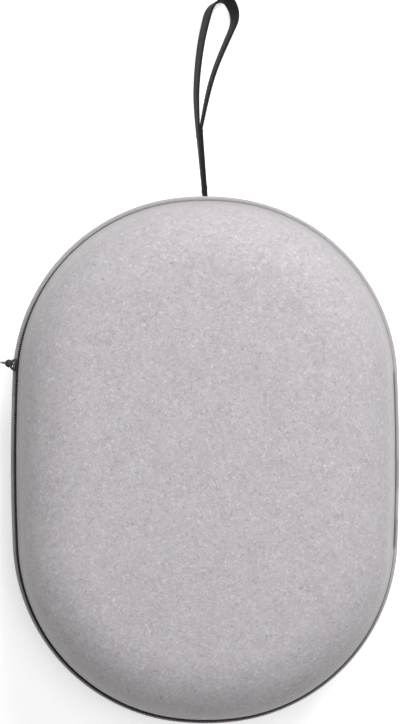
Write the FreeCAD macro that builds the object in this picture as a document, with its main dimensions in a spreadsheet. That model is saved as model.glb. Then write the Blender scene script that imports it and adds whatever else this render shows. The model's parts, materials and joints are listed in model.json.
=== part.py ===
# Zipped carrying case: two felt-covered moulded halves, a coil zip, a fabric hinge and a wrist strap.
# The case lies on its flat back. The origin is the middle of that back, +Z is up, +Y points at the strap.

import FreeCAD, Part
import Sketcher
import math
import os

V = FreeCAD.Vector
UP = V(0, 0, 1)

SIZES = {
    # outline of the case at its widest, the piping: three tangent arcs in each quarter
    "half_width": 102.8, "half_length": 139.5,
    "side_radius": 1000.0, "shoulder_radius": 98.0, "tip_radius": 131.0,
    # halves
    "case_height": 112.0, "seam_height": 57.0, "rim_half_gap": 2.6, "rim_inset": 2.9, "wall_draft": 10.0,
    "lid_edge_radius": 34.0, "base_edge_radius": 30.0,
    "felt_thick": 1.6, "board_thick": 3.5, "lining_thick": 0.9, "glue_gap": 0.1,
    # piping and inner edge binding
    "piping_height": 3.2, "piping_drop": 0.6, "piping_round": 1.5,
    "binding_thick": 0.8, "binding_width": 3.8,
    # zip
    "coil_inset": 1.9, "coil_thick": 1.6, "coil_width": 2.0, "coil_split": 0.3,
    "tape_thick": 0.5, "tape_tuck": 2.0, "slot_play": 0.05,
    "stop_length": 1.4, "stop_gap": 0.2,
    # zip slider, its bridge and pull
    "slider_length": 6.6, "slider_play": 0.25, "outer_plate": 1.2, "inner_plate": 0.75,
    "outer_plate_height": 6.0, "inner_plate_height": 4.8, "divider_thick": 0.36, "divider_length": 3.4,
    "lip_thick": 0.45, "lip_depth": 1.0, "park_angle": 5.3,
    "bridge_rod": 0.8, "bridge_reach": 1.5, "bridge_span": 5.2, "bridge_bend": 0.8,
    "pull_cord": 0.7, "pull_loop_radius": 0.9, "pull_hang": 60.0,
    "bead_radius": 2.05, "bead_distance": 2.7, "bead_flat": 1.7,
    "blade_length": 24.0, "blade_width": 6.0, "blade_thick": 0.8, "blade_lean": 10.0,
    "blade_neck_width": 2.87, "blade_taper": 7.2, "blade_tip": 3.6, "blade_tip_width": 3.0,
    # hinge
    "hinge_half": 48.0, "hinge_reach": 0.3, "web_inset": 1.9, "web_thick": 0.7, "web_margin": 2.0,
    "web_lap": 2.9,
    # foam nest
    "nest_top": 40.0, "nest_play": 0.4, "nest_wall": 10.0, "channel_floor": 16.0, "island_inset": 70.8,
    "channel_round": 3.5,
    "recess_side_wall": 14.0, "recess_end_wall": 22.7, "recess_depth": 20.0, "recess_round": 10.0,
    # lid pocket
    "pocket_drop": 14.0, "mesh_thick": 0.8, "pocket_trim_thick": 1.8, "pocket_trim_width": 2.2,
    "pocket_play": 0.5, "pocket_mouth": 55.0, "elastic_width": 6.0,
    # wrist strap
    "strap_width": 8.0, "strap_thick": 1.25, "stem_thick": 2.65, "stem_root": 1.1, "stem_end": 175.7,
    "stem_start_level": 45.775, "stem_end_level": 32.6125, "stem_swing": 4.84,
    "anchor_width": 18.0, "anchor_height": 9.6, "anchor_depth": 14.95, "anchor_gap": 0.15,
}

# Middle of the webbing of the wrist loop, from the sewn stem out to the tip and back.
LOOP_ROUTE = (
    (-3.7, 176.0, 32.5), (-4.9, 192.0, 26.5), (-4.2, 208.0, 20.5), (-2.4, 224.0, 14.5),
    (0.0, 236.0, 10.0), (3.0, 248.0, 5.5), (13.0, 252.0, 4.0), (17.6, 240.0, 8.5),
    (12.4, 228.0, 13.0), (5.8, 212.0, 19.0), (1.2, 196.0, 25.0), (-2.3, 176.0, 32.5),
)

doc = FreeCAD.newDocument("carrying_case")
sheet = doc.addObject("Spreadsheet::Sheet", "Sizes")
for row, (name, number) in enumerate(SIZES.items(), start=1):
    sheet.set("A%d" % row, name)
    sheet.set("B%d" % row, str(number))
    sheet.setAlias("B%d" % row, name)
doc.recompute()


class Amount:
    """A length worked out from the sheet: the expression that a feature is bound to, and its number."""

    def __init__(self, text, number):
        self.text = text
        self.number = number

    def __add__(self, other):
        other = amount(other)
        return Amount("(%s + %s)" % (self.text, other.text), self.number + other.number)

    def __sub__(self, other):
        other = amount(other)
        return Amount("(%s - %s)" % (self.text, other.text), self.number - other.number)

    def __mul__(self, other):
        other = amount(other)
        return Amount("(%s * %s)" % (self.text, other.text), self.number * other.number)

    def __truediv__(self, other):
        other = amount(other)
        return Amount("(%s / %s)" % (self.text, other.text), self.number / other.number)


def amount(value):
    return value if isinstance(value, Amount) else Amount("(%s)" % value, float(value))


def size(name):
    return Amount("Sizes.%s" % name, float(sheet.get(name)))


def tan(angle):
    return Amount("tan(%s)" % angle.text, math.tan(math.radians(angle.number)))


def sin(angle):
    return Amount("sin(%s)" % angle.text, math.sin(math.radians(angle.number)))


def cos(angle):
    return Amount("cos(%s)" % angle.text, math.cos(math.radians(angle.number)))


def root(value):
    return Amount("sqrt(%s)" % value.text, math.sqrt(value.number))


def bind(thing, path, value):
    thing.setExpression(path, amount(value).text)


# ---- outline -------------------------------------------------------------------------------------

half_width = size("half_width")
half_length = size("half_length")
side_radius = size("side_radius")
shoulder_radius = size("shoulder_radius")
tip_radius = size("tip_radius")
side_centre = half_width - side_radius
tip_centre = half_length - tip_radius


def shoulder_centre():
    """Middle of the upper right shoulder arc, which touches the side arc and the tip arc inside."""
    start = V(side_centre.number, 0, 0)
    end = V(0, tip_centre.number, 0)
    near_start = side_radius.number - shoulder_radius.number
    near_end = tip_radius.number - shoulder_radius.number
    gap = (end - start).Length
    along = (near_start ** 2 - near_end ** 2 + gap ** 2) / (2 * gap)
    across = math.sqrt(near_start ** 2 - along ** 2)
    line = (end - start).normalize()
    return start + line * along + V(-line.y, line.x, 0) * across


shoulder = shoulder_centre()
side_turn = math.atan2(shoulder.y, shoulder.x - side_centre.number)
tip_turn = math.atan2(shoulder.y - tip_centre.number, shoulder.x)


def outline_arcs():
    """Middle, radius and end angles of the eight arcs, anticlockwise from the right-hand side."""
    x = shoulder.x
    y = shoulder.y
    pi = math.pi
    return (
        (V(side_centre.number, 0, 0), side_radius, -side_turn, side_turn),
        (V(x, y, 0), shoulder_radius, side_turn, tip_turn),
        (V(0, tip_centre.number, 0), tip_radius, tip_turn, pi - tip_turn),
        (V(-x, y, 0), shoulder_radius, pi - tip_turn, pi - side_turn),
        (V(-side_centre.number, 0, 0), side_radius, pi - side_turn, pi + side_turn),
        (V(-x, -y, 0), shoulder_radius, pi + side_turn, pi + tip_turn),
        (V(0, -tip_centre.number, 0), tip_radius, pi + tip_turn, 2 * pi - tip_turn),
        (V(x, -y, 0), shoulder_radius, 2 * pi - tip_turn, 2 * pi - side_turn),
    )


def add_outline(sketch, inset):
    """Draw the outline, moved inwards by inset, into a sketch."""
    arcs = []
    for middle, radius, start, end in outline_arcs():
        circle = Part.Circle(middle, UP, radius.number - inset.number)
        arcs.append(sketch.addGeometry(Part.ArcOfCircle(circle, start, end), False))
    for index, arc in enumerate(arcs):
        following = arcs[(index + 1) % len(arcs)]
        sketch.addConstraint(Sketcher.Constraint("Tangent", arc, 2, following, 1))
    for arc, (middle, radius, start, end) in zip(arcs, outline_arcs()):
        fixed = sketch.addConstraint(Sketcher.Constraint("Radius", arc, radius.number - inset.number))
        bind(sketch, "Constraints[%d]" % fixed, radius - inset)
    for place, sign in ((0, 1), (4, -1)):
        across = sketch.addConstraint(
            Sketcher.Constraint("DistanceX", -1, 1, arcs[place], 3, sign * side_centre.number))
        bind(sketch, "Constraints[%d]" % across, side_centre * sign)
        sketch.addConstraint(Sketcher.Constraint("PointOnObject", arcs[place], 3, -1))
    for place, sign in ((2, 1), (6, -1)):
        along = sketch.addConstraint(
            Sketcher.Constraint("DistanceY", -1, 1, arcs[place], 3, sign * tip_centre.number))
        bind(sketch, "Constraints[%d]" % along, tip_centre * sign)
        sketch.addConstraint(Sketcher.Constraint("PointOnObject", arcs[place], 3, -2))


# ---- feature helpers -----------------------------------------------------------------------------

def new_body(name):
    body = doc.addObject("PartDesign::Body", name)
    body.Label = name
    return body


def new_sketch(body, name, plane="XY_Plane", level=None):
    sketch = body.newObject("Sketcher::SketchObject", body.Label + "_" + name)
    for feature in body.Origin.OriginFeatures:
        if feature.Role == plane:
            sketch.AttachmentSupport = [(feature, "")]
    sketch.MapMode = "FlatFace"
    if level is not None:
        bind(sketch, "AttachmentOffset.Base.z", level)
    return sketch


def add_polygon(sketch, corners):
    """Closed polygon through the corners, each corner two amounts, fixed from the sketch's origin."""
    count = len(corners)
    points = [V(amount(across).number, amount(along).number, 0) for across, along in corners]
    lines = [sketch.addGeometry(Part.LineSegment(points[i], points[(i + 1) % count]), False)
             for i in range(count)]
    for i in range(count):
        sketch.addConstraint(Sketcher.Constraint("Coincident", lines[i], 2, lines[(i + 1) % count], 1))
    for line, point, (across, along) in zip(lines, points, corners):
        fixed = sketch.addConstraint(Sketcher.Constraint("DistanceX", -1, 1, line, 1, point.x))
        bind(sketch, "Constraints[%d]" % fixed, across)
        fixed = sketch.addConstraint(Sketcher.Constraint("DistanceY", -1, 1, line, 1, point.y))
        bind(sketch, "Constraints[%d]" % fixed, along)


def add_rectangle(sketch, left, right, low, high):
    add_polygon(sketch, ((left, low), (right, low), (right, high), (left, high)))


def pad(body, sketch, length, reverse=False, taper=None, middle=False):
    feature = body.newObject("PartDesign::Pad", sketch.Label + "_pad")
    feature.Profile = sketch
    feature.Reversed = reverse
    feature.Midplane = middle
    bind(feature, "Length", length)
    if taper is not None:
        bind(feature, "TaperAngle", taper)
    doc.recompute()


def pocket(body, sketch, length=None, both_ways=False):
    """Cut the sketch out of the body; without a length the cut goes right through."""
    before = body.Shape.Volume
    feature = body.newObject("PartDesign::Pocket", sketch.Label + "_pocket")
    feature.Profile = sketch
    feature.Midplane = both_ways
    if length is None:
        feature.Type = "ThroughAll"
    else:
        bind(feature, "Length", length)
    doc.recompute()
    if not body.Shape.Volume < before - 0.01:
        raise RuntimeError("%s cuts nothing" % feature.Label)


def edges_at(shape, level, wanted=lambda edge: True):
    """Names of the edges that lie flat at a level."""
    names = []
    for number, edge in enumerate(shape.Edges, start=1):
        box = edge.BoundBox
        if abs(box.ZMin - level) < 0.001 and abs(box.ZMax - level) < 0.001 and wanted(edge):
            names.append("Edge%d" % number)
    return names


def round_edges(body, names, radius):
    base = body.Tip
    feature = body.newObject("PartDesign::Fillet", base.Label + "_round")
    feature.Base = (base, names)
    bind(feature, "Radius", radius)
    doc.recompute()


# ---- levels and walls ----------------------------------------------------------------------------

seam = size("seam_height")
base_rim = seam - size("rim_half_gap")
lid_rim = seam + size("rim_half_gap")
draft = size("wall_draft")
felt = size("felt_thick")
board_start = felt + size("glue_gap")
board_end = board_start + size("board_thick")
lining_start = board_end + size("glue_gap")
lining_end = lining_start + size("lining_thick")


def wall_inset(depth, from_rim):
    """Inset of the straight wall, depth inside the felt's face and from_rim away from its rim."""
    return size("rim_inset") + depth + from_rim * tan(draft)


def make_form(name, lid, depth):
    """Solid lump of a half, depth inside the felt's outer face, with its far edge rolled."""
    rim = lid_rim if lid else base_rim
    height = size("case_height") - lid_rim if lid else base_rim
    edge_radius = size("lid_edge_radius" if lid else "base_edge_radius")
    body = new_body(name)
    rim_outline = new_sketch(body, "rim", level=rim)
    add_outline(rim_outline, wall_inset(depth, amount(0)))
    pad(body, rim_outline, height - depth, reverse=not lid, taper=draft * -1)
    far = size("case_height") - depth if lid else depth
    round_edges(body, edges_at(body.Shape, far.number), edge_radius - depth)
    return body


def cut_from(name, base, tool):
    cut = doc.addObject("Part::Cut", name)
    cut.Label = name
    cut.Base = base
    cut.Tool = tool
    return cut


def make_dish(name, lid, outer, inner):
    """One layer of a half: everything between two depths inside the felt's outer face."""
    return cut_from(name, make_form(name + "_outside", lid, outer), make_form(name + "_inside", lid, inner))


def make_ring(name, low, height, outer, inner):
    """Band of even section round the case, between two insets."""
    body = new_body(name)
    band = new_sketch(body, "band", level=low)
    add_outline(band, outer)
    add_outline(band, inner)
    pad(body, band, height)
    return body


def open_window(body, top, reach):
    """Leave the band out along the hinge."""
    window = new_sketch(body, "window", level=top + 1)
    add_rectangle(window, half_width / 2, half_width, reach * -1, reach)
    pocket(body, window)


# ---- zip, piping and binding ---------------------------------------------------------------------

coil_outer = size("coil_inset")
coil_inner = coil_outer + size("coil_thick")
tape_outer = coil_inner + size("glue_gap")
tape_inner = tape_outer + size("tape_thick")
split = size("coil_split")
hinge_half = size("hinge_half")

parts = {}


def keep(thing):
    parts[thing.Label] = thing
    return thing


def make_halves():
    for prefix, lid in (("base", False), ("lid", True)):
        felt_layer = make_dish(prefix + "_felt", lid, amount(0), felt)
        depth = size("tape_tuck") + size("slot_play")
        low = lid_rim if lid else base_rim - depth
        slot = make_ring(prefix + "_slot", low, depth, tape_outer - size("slot_play"),
                         tape_inner + size("slot_play"))
        keep(cut_from(prefix + "_cover", felt_layer, slot))
        keep(make_dish(prefix + "_shell", lid, board_start, board_end))
        keep(make_dish(prefix + "_lining", lid, lining_start, lining_end))


def make_zip():
    tape_height = size("tape_tuck") + size("rim_half_gap") - split
    low = base_rim - size("tape_tuck")
    tape = keep(make_ring("base_zip_tape", low, tape_height, tape_outer, tape_inner))
    open_window(tape, low + tape_height, hinge_half)
    tape = keep(make_ring("lid_zip_tape", seam + split, tape_height, tape_outer, tape_inner))
    open_window(tape, seam + split + tape_height, hinge_half)
    low = seam - split - size("coil_width")
    coil = keep(make_ring("base_zip_coil", low, size("coil_width"), coil_outer, coil_inner))
    open_window(coil, seam - split, hinge_half)
    coil = keep(make_ring("lid_zip_coil", seam + split, size("coil_width"), coil_outer, coil_inner))
    open_window(coil, seam + split + size("coil_width"), hinge_half)


def common(name, base, tool):
    shared = doc.addObject("Part::Common", name)
    shared.Label = name
    shared.Base = base
    shared.Tool = tool
    return shared


def make_end_stops():
    """A small clamp beyond each end of the base coil, beside the hinge."""
    low = seam - split - size("coil_width")
    band = make_ring("end_stop_band", low, size("coil_width"), coil_outer, coil_inner)
    blocks = new_body("end_stop_blocks")
    blocks.AllowCompound = True
    reach = new_sketch(blocks, "reach", level=low)
    far = hinge_half - size("stop_gap")
    near = far - size("stop_length")
    add_rectangle(reach, half_width / 2, half_width, near, far)
    add_rectangle(reach, half_width / 2, half_width, far * -1, near * -1)
    pad(blocks, reach, size("coil_width"))
    keep(common("zip_end_stops", band, blocks))


def make_piping():
    top = base_rim - size("piping_drop")
    low = top - size("piping_height")
    inner = size("rim_inset") - size("slot_play")
    body = make_ring("base_piping", low, size("piping_height"), amount(0), inner)
    outer_radii = (side_radius.number, shoulder_radius.number, tip_radius.number)

    def on_outside(edge):
        return min(abs(edge.Curve.Radius - radius) for radius in outer_radii) < 0.001

    names = edges_at(body.Shape, top.number, on_outside) + edges_at(body.Shape, low.number, on_outside)
    round_edges(body, names, size("piping_round"))
    keep(body)


def make_bindings():
    """Tape sewn over the inner edge of each half."""
    width = size("binding_width")
    outer = wall_inset(lining_end, width) + size("glue_gap")
    inner = outer + size("binding_thick")
    keep(make_ring("base_binding", base_rim - width, width, outer, inner))
    keep(make_ring("lid_binding", lid_rim, width, outer, inner))


def make_hinge_web():
    low = base_rim - size("piping_drop") + size("glue_gap")
    height = lid_rim + size("web_lap") - low
    inner = size("web_inset") + size("web_thick")
    band = make_ring("hinge_band", low, height, size("web_inset"), inner)
    block = doc.addObject("Part::Box", "hinge_reach_block")
    reach = hinge_half - size("web_margin")
    bind(block, "Length", half_width)
    bind(block, "Width", reach * 2)
    bind(block, "Height", size("case_height"))
    bind(block, "Placement.Base.x", half_width / 2)
    bind(block, "Placement.Base.y", reach * -1)
    keep(common("hinge_web", band, block))


# ---- foam nest -----------------------------------------------------------------------------------

def make_nest_form(name, top):
    """Body that fills the base half up to the nest's top, clear of the lining."""
    depth = lining_end + size("nest_play")
    body = new_body(name)
    outside = new_sketch(body, "outside", level=top)
    add_outline(outside, wall_inset(depth, base_rim - top))
    pad(body, outside, top - depth, reverse=True, taper=draft * -1)
    round_edges(body, edges_at(body.Shape, depth.number), size("base_edge_radius") - depth)
    return body


def make_nest():
    """Foam in three pieces: a grooved sheet, a ring round its edge and an island with the cable recess."""
    top = size("nest_top")
    step = top - size("recess_depth")
    wall = wall_inset(lining_end + size("nest_play"), base_rim - top) + size("nest_wall")
    island = size("island_inset")

    base = make_nest_form("nest_base", top)
    above = new_sketch(base, "above", level=top)
    add_rectangle(above, half_width * -1, half_width, half_length * -1, half_length)
    pocket(base, above, size("recess_depth"))
    groove = new_sketch(base, "groove", level=step)
    add_outline(groove, wall)
    add_outline(groove, island)
    pocket(base, groove, step - size("channel_floor"))
    round_edges(base, edges_at(base.Shape, size("channel_floor").number), size("channel_round"))
    keep(base)

    ring = make_nest_form("nest_ring", top)
    inside = new_sketch(ring, "inside", level=top)
    add_outline(inside, wall)
    pocket(ring, inside, size("recess_depth"))
    below = new_sketch(ring, "below", level=step)
    add_rectangle(below, half_width * -1, half_width, half_length * -1, half_length)
    pocket(ring, below)
    keep(ring)

    block = new_body("nest_island")
    outline = new_sketch(block, "outline", level=step)
    add_outline(outline, island)
    across = half_width - island - size("recess_side_wall")
    along = half_length - island - size("recess_end_wall")
    add_rectangle(outline, across * -1, across, along * -1, along)
    pad(block, outline, size("recess_depth"))
    corners = []
    for number, edge in enumerate(block.Shape.Edges, start=1):
        middle = edge.BoundBox.Center
        at_side = abs(abs(middle.x) - across.number) < 0.001
        at_end = abs(abs(middle.y) - along.number) < 0.001
        if at_side and at_end:
            corners.append("Edge%d" % number)
    round_edges(block, corners, size("recess_round"))
    keep(block)


# ---- lid pocket ----------------------------------------------------------------------------------

def lid_corner_inset(level):
    """Inset of the lining's rolled edge at a level near the lid's ceiling."""
    radius = size("lid_edge_radius") - lining_end
    middle_level = size("case_height") - size("lid_edge_radius")
    touch = middle_level + radius * sin(draft)
    middle_inset = wall_inset(lining_end, touch - lid_rim) + radius * cos(draft)
    rise = level - middle_level
    return middle_inset - root(radius * radius - rise * rise)


def cut_beyond(body, level, mouth):
    """Cut the body away past the mouth of the pocket."""
    beyond = new_sketch(body, "beyond", level=level)
    add_rectangle(beyond, half_width * -1, half_width, mouth, half_length)
    pocket(body, beyond)


def make_lid_pocket():
    trim = size("pocket_trim_thick")
    top = size("case_height") - lining_end - size("pocket_drop")
    low = top - trim
    outer = lid_corner_inset(top) + size("pocket_play")
    inner = outer + size("pocket_trim_width")
    mouth = size("pocket_mouth")
    elastic_end = mouth + size("elastic_width")
    binding = make_ring("pocket_binding", low, trim, outer, inner)
    cut_beyond(binding, top + 1, elastic_end)
    keep(binding)
    panel_inset = inner + size("glue_gap")
    mesh = new_body("mesh_pocket")
    panel = new_sketch(mesh, "panel", level=low + (trim - size("mesh_thick")) / 2)
    add_outline(panel, panel_inset)
    pad(mesh, panel, size("mesh_thick"))
    cut_beyond(mesh, top + 1, mouth)
    keep(mesh)
    elastic = new_body("pocket_elastic")
    strip = new_sketch(elastic, "strip", level=low)
    add_outline(strip, panel_inset)
    pad(elastic, strip, trim)
    cut_beyond(elastic, top + 1, elastic_end)
    below = new_sketch(elastic, "below", level=top + 1)
    start = mouth + size("glue_gap")
    add_rectangle(below, half_width * -1, half_width, half_length * -1, start)
    pocket(elastic, below)
    keep(elastic)


# ---- zip slider ----------------------------------------------------------------------------------

def box(name, x_low, x_high, y_low, y_high, z_low, z_high):
    block = doc.addObject("Part::Box", name)
    bind(block, "Length", amount(x_high) - x_low)
    bind(block, "Width", amount(y_high) - y_low)
    bind(block, "Height", amount(z_high) - z_low)
    bind(block, "Placement.Base.x", x_low)
    bind(block, "Placement.Base.y", y_low)
    bind(block, "Placement.Base.z", z_low)
    return block


def out(reach):
    """Place along the shoulder arc's own radius, reach outside the outline, for the left shoulder."""
    return (shoulder_radius + reach) * -1


def park(thing):
    """Carry a piece made about the shoulder arc's middle to where the slider is parked."""
    turn = FreeCAD.Rotation(UP, -size("park_angle").number)
    move = FreeCAD.Placement(V(-shoulder.x, shoulder.y, 0), turn)
    thing.Placement = move.multiply(thing.Placement)
    return thing


def make_slider():
    half = size("slider_length") / 2
    play = size("slider_play")
    inner_face = play - coil_outer
    outer_face = inner_face + size("outer_plate")
    back_face = (tape_inner + play) * -1
    outer_half = size("outer_plate_height") / 2
    inner_half = size("inner_plate_height") / 2
    web_half = size("divider_thick") / 2
    web_end = size("divider_length") - half
    blocks = [
        box("outer_plate_block", out(outer_face), out(inner_face), half * -1, half,
            seam - outer_half, seam + outer_half),
        box("inner_plate_block", out(back_face), out(back_face - size("inner_plate")), half * -1, half,
            seam - inner_half, seam + inner_half),
        box("divider_block", out(inner_face), out(back_face), half * -1, web_end,
            seam - web_half, seam + web_half),
        box("lip_block", out(inner_face), out(inner_face - size("lip_depth")), half * -1, half,
            seam - outer_half, seam - outer_half + size("lip_thick")),
    ]
    body = doc.addObject("Part::MultiFuse", "slider_body")
    body.Label = "slider_body"
    body.Shapes = blocks
    body.Refine = True
    keep(park(body))
    return outer_face.number


def bent_route(points, radii):
    """Wire of straight runs joined by tangent arcs of the given radii."""
    points = [V(*point) for point in points]
    edges = []
    here = points[0]
    for index in range(1, len(points) - 1):
        corner = points[index]
        back = (points[index - 1] - corner).normalize()
        ahead = (points[index + 1] - corner).normalize()
        turn = math.pi - back.getAngle(ahead)
        reach = radii[index - 1] * math.tan(turn / 2)
        start = corner + back * reach
        end = corner + ahead * reach
        towards = (back + ahead).normalize()
        middle = corner + towards * (radii[index - 1] / math.cos(turn / 2) - radii[index - 1])
        edges.append(Part.makeLine(here, start))
        edges.append(Part.Arc(start, middle, end).toShape())
        here = end
    edges.append(Part.makeLine(here, points[-1]))
    return Part.Wire(edges)


def even_radii(points):
    """The largest arc at each corner: 0.45 of the shorter run, over the tangent of half the turn."""
    points = [V(*point) for point in points]
    radii = []
    for index in range(1, len(points) - 1):
        back = points[index - 1] - points[index]
        ahead = points[index + 1] - points[index]
        turn = math.pi - back.getAngle(ahead)
        radii.append(0.45 * min(back.Length, ahead.Length) / math.tan(turn / 2))
    return radii


def round_section(centre, direction, radius):
    return Part.Wire(Part.makeCircle(radius, centre, direction))


def sweep(route, section, upright=None):
    maker = Part.BRepOffsetAPI.MakePipeShell(route)
    if upright is None:
        maker.setFrenetMode(True)
    else:
        maker.setBiNormalMode(upright)
    maker.add(section)
    maker.build()
    maker.makeSolid()
    return maker.shape()


def make_shape(name, shape):
    feature = doc.addObject("Part::Feature", name)
    feature.Label = name
    feature.Shape = shape
    return feature


def make_bridge(plate_face):
    """Bent rod on the slider's outer plate."""
    start = out(amount(plate_face)).number
    reach = out(amount(plate_face) + size("bridge_reach")).number
    half = size("bridge_span").number / 2
    level = seam.number
    points = ((start, -half, level), (reach, -half, level), (reach, half, level), (start, half, level))
    bend = size("bridge_bend").number
    route = bent_route(points, (bend, bend))
    section = round_section(V(*points[0]), V(1, 0, 0), size("bridge_rod").number / 2)
    keep(park(make_shape("slider_bridge", sweep(route, section))))
    return reach


def make_pull(bar):
    """Cord loop round the bridge, and the moulded pull that holds its ends."""
    hang = math.radians(size("pull_hang").number)
    along = V(-math.cos(hang), 0, -math.sin(hang))
    across = V(-along.z, 0, along.x)
    centre = V(bar, 0, seam.number)
    radius = size("pull_loop_radius").number
    flat = centre + along * size("bead_flat").number
    edges = (
        Part.makeLine(flat + across * radius, centre + across * radius),
        Part.Arc(centre + across * radius, centre - along * radius, centre - across * radius).toShape(),
        Part.makeLine(centre - across * radius, flat - across * radius),
    )
    section = round_section(flat + across * radius, along, size("pull_cord").number / 2)
    keep(park(make_shape("pull_loop", sweep(Part.Wire(edges), section))))

    bead_centre = centre + along * size("bead_distance").number
    body = new_body("pull_tab")
    blade = new_sketch(body, "blade", plane="XZ_Plane")
    lean = math.radians(size("blade_lean").number)
    down = V(-math.sin(lean), 0, -math.cos(lean))
    side = V(-down.z, 0, down.x)
    length = size("blade_length").number
    width = size("blade_width").number
    neck = size("blade_neck_width").number
    taper = size("blade_taper").number
    tip = length - size("blade_tip").number
    tip_width = size("blade_tip_width").number
    outline = (
        (0, neck / 2), (taper, width / 2), (tip, width / 2), (length, tip_width / 2),
        (length, -tip_width / 2), (tip, -width / 2), (taper, -width / 2), (0, -neck / 2),
    )
    corners = []
    for distance, offset in outline:
        point = bead_centre + down * distance + side * offset
        corners.append((point.x, point.z))
    add_polygon(blade, corners)
    pad(body, blade, size("blade_thick"), middle=True)
    bead = body.newObject("PartDesign::AdditiveSphere", "bead")
    bind(bead, "Radius", size("bead_radius"))
    bead.Placement = FreeCAD.Placement(bead_centre, FreeCAD.Rotation())
    doc.recompute()
    trimmed = new_sketch(body, "bead_face", plane="XZ_Plane")
    far = size("bead_radius").number * 2
    corners = []
    for distance, offset in ((0, far), (0, -far), (-far, -far), (-far, far)):
        point = flat + along * distance + across * offset
        corners.append((point.x, point.z))
    add_polygon(trimmed, corners)
    pocket(body, trimmed, both_ways=True)
    keep(park(body))


# ---- wrist strap ---------------------------------------------------------------------------------

stem_start = half_length + size("stem_root")


def make_strap():
    """Sewn double webbing from the anchor, and the open loop of single webbing beyond it."""
    start = stem_start.number
    end = size("stem_end").number
    low = size("stem_start_level").number
    far = size("stem_end_level").number
    half = size("strap_width").number / 2
    fall = math.atan2(low - far, end - start)
    body = new_body("strap_stem")
    side = new_sketch(body, "side", plane="YZ_Plane")
    tall = half / math.cos(fall)
    corners = (
        (start, low - tall), (end - half * math.sin(fall), far - half * math.cos(fall)),
        (end + half * math.sin(fall), far + half * math.cos(fall)), (start, low + tall),
    )
    add_polygon(side, corners)
    pad(body, side, size("stem_thick"), middle=True)
    turn = FreeCAD.Rotation(UP, size("stem_swing").number)
    body.Placement = FreeCAD.Placement(V(0, 0, 0), turn, V(0, start, 0))
    keep(body)

    radii = even_radii(LOOP_ROUTE)
    print("wrist loop radii", [round(radius, 1) for radius in radii])
    route = bent_route(LOOP_ROUTE, radii)
    first = V(*LOOP_ROUTE[0])
    along = (V(*LOOP_ROUTE[1]) - first).normalize()
    fall_line = V(0, math.cos(fall), -math.sin(fall))
    upright = V(1, 0, 0).cross(fall_line).normalize()
    across = along.cross(upright).normalize()
    thin = size("strap_thick").number / 2
    corners = [first + across * a * thin + upright * b * half for a, b in ((1, 1), (1, -1), (-1, -1), (-1, 1))]
    section = Part.makePolygon(corners + corners[:1])
    loop = sweep(route, section, upright)
    expected = size("strap_thick").number * size("strap_width").number * route.Length
    print("wrist loop length %.1f, volume %.1f, expected %.1f" % (route.Length, loop.Volume, expected))
    keep(make_shape("wrist_loop", loop))


def make_anchor():
    """Stitched block on the base's wall that the stem comes out of, under the piping."""
    end = stem_start - size("anchor_gap")
    level = size("stem_start_level")
    half = size("anchor_width") / 2
    tall = size("anchor_height") / 2
    block = box("anchor_block", half * -1, half, stem_start - size("anchor_depth"), end,
                level - tall, level + tall)
    wall = make_form("anchor_wall", False, size("glue_gap") * -1)
    keep(cut_from("strap_anchor", block, wall))


# ---- build, check and write ----------------------------------------------------------------------

make_halves()
make_zip()
make_end_stops()
make_piping()
make_bindings()
make_hinge_web()
make_nest()
make_lid_pocket()
bar_centre = make_bridge(make_slider())
make_pull(bar_centre)
make_anchor()
make_strap()
doc.recompute()

for thing in doc.Objects:
    if "Invalid" in thing.State or "Error" in thing.State:
        raise RuntimeError("%s failed" % thing.Label)

os.makedirs("parts", exist_ok=True)
for name, thing in parts.items():
    shape = thing.Shape
    if shape.isNull() or not shape.isValid() or shape.Volume < 0.5:
        raise RuntimeError("%s has no sound shape" % name)
    shape.exportStep("parts/%s.step" % name)
    corner = shape.BoundBox
    print("%-16s solids %d  volume %9.1f  x %.2f %.2f  y %.2f %.2f  z %.2f %.2f" % (
        name, len(shape.Solids), shape.Volume, corner.XMin, corner.XMax, corner.YMin, corner.YMax,
        corner.ZMin, corner.ZMax))
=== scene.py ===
# %% [markdown]
# # A zipped carrying case with a wrist strap
# The case is a clamshell: two moulded foam halves covered in pale felt, a black coil zip round the
# seam, a fabric hinge on one long side and a webbing loop at one end. The exact sizes and the moving
# bodies come from a finished frame. This file dresses that frame: it keeps the sizes, and builds
# cloth, felt, zip teeth and moulded parts that look as they do in the hand.

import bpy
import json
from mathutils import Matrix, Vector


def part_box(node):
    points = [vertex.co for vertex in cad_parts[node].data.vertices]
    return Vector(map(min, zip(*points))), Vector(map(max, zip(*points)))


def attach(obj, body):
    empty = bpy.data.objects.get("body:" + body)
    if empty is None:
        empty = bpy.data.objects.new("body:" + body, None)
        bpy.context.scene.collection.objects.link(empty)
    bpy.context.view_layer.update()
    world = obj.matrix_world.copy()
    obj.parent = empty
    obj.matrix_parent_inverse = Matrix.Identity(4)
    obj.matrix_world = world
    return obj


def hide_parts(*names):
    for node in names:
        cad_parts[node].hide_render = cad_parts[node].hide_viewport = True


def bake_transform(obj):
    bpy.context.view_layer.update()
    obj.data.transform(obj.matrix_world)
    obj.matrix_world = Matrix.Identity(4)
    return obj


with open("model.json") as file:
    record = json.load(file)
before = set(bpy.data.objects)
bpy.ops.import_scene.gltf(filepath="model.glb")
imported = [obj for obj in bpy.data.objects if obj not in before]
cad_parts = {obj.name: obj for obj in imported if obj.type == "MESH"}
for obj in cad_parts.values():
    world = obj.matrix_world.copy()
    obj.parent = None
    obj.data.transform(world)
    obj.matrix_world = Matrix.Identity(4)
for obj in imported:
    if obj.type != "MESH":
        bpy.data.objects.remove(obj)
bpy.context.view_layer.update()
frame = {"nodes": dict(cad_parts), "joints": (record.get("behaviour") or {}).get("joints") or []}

# %% Modules and small helpers
import json
import math

import bmesh
import bpy
from mathutils import Matrix, Vector

mm = 0.001


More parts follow.
